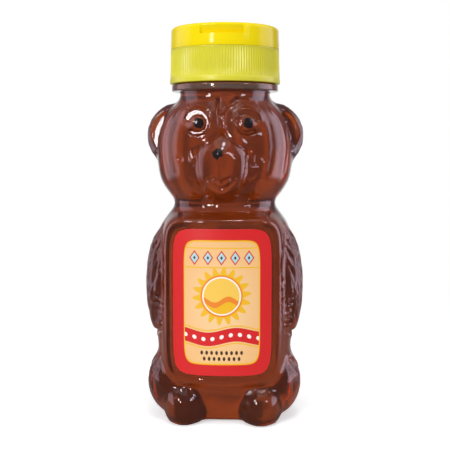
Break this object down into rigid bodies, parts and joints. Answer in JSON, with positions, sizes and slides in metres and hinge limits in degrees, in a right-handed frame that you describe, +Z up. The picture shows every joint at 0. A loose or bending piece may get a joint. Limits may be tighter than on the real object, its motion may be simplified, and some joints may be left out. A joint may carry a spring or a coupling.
{
  "type": "honey bear bottle",
  "caption": "Clear squeeze bottle in the form of a sitting bear, full of honey, with a front label panel and a yellow screw cap whose flip lid closes a pouring spout.",
  "frame": {"origin": "on the axis of the neck, in the plane that the bottle stands on", "axes": "+Z up along the neck, -Y towards the side that the bear faces, +X to the viewer's right from the front"},
  "size_m": [0.0598, 0.0557, 0.146],
  "materials": {
    "clear_pet": "clear, smooth, moulded",
    "honey": "clear dark amber liquid",
    "label_paper": "gloss printed film",
    "black_paint": "printed dot, a little worn",
    "foam_liner": "foam sheet",
    "skirt_yellow": "fine ribs, satin",
    "lid_yellow": "moulded, semi-gloss"
  },
  "bodies": {
    "bottle": {"bottle": "clear_pet", "honey": "honey", "front_label": "label_paper", "left_pupil": "black_paint", "right_pupil": "black_paint", "nose_dot": "black_paint"},
    "liner": {"seal_liner": "foam_liner"},
    "closure": {"closure_base": "skirt_yellow", "living_hinge": "lid_yellow"},
    "lid": {"flip_lid": "lid_yellow"}
  },
  "joints": [
    {"name": "cap_lift", "type": "slide", "parent": "bottle", "child": "liner", "axis": [0, 0, 1], "range_m": [0, 0.0046]},
    {"name": "cap_turn", "type": "hinge", "parent": "liner", "child": "closure", "pos_m": [0, 0, 0.13], "axis": [0, 0, 1], "range_deg": [0, 390]},
    {"name": "lid_flip", "type": "hinge", "parent": "closure", "child": "lid", "pos_m": [0, 0.0212, 0.13775], "axis": [-1, 0, 0], "range_deg": [0, 165], "deforming": ["living_hinge"]}
  ],
  "couplings": [
    {"joint": "cap_lift", "follows": "cap_turn", "m_per_rad": 0.0006737}
  ]
}
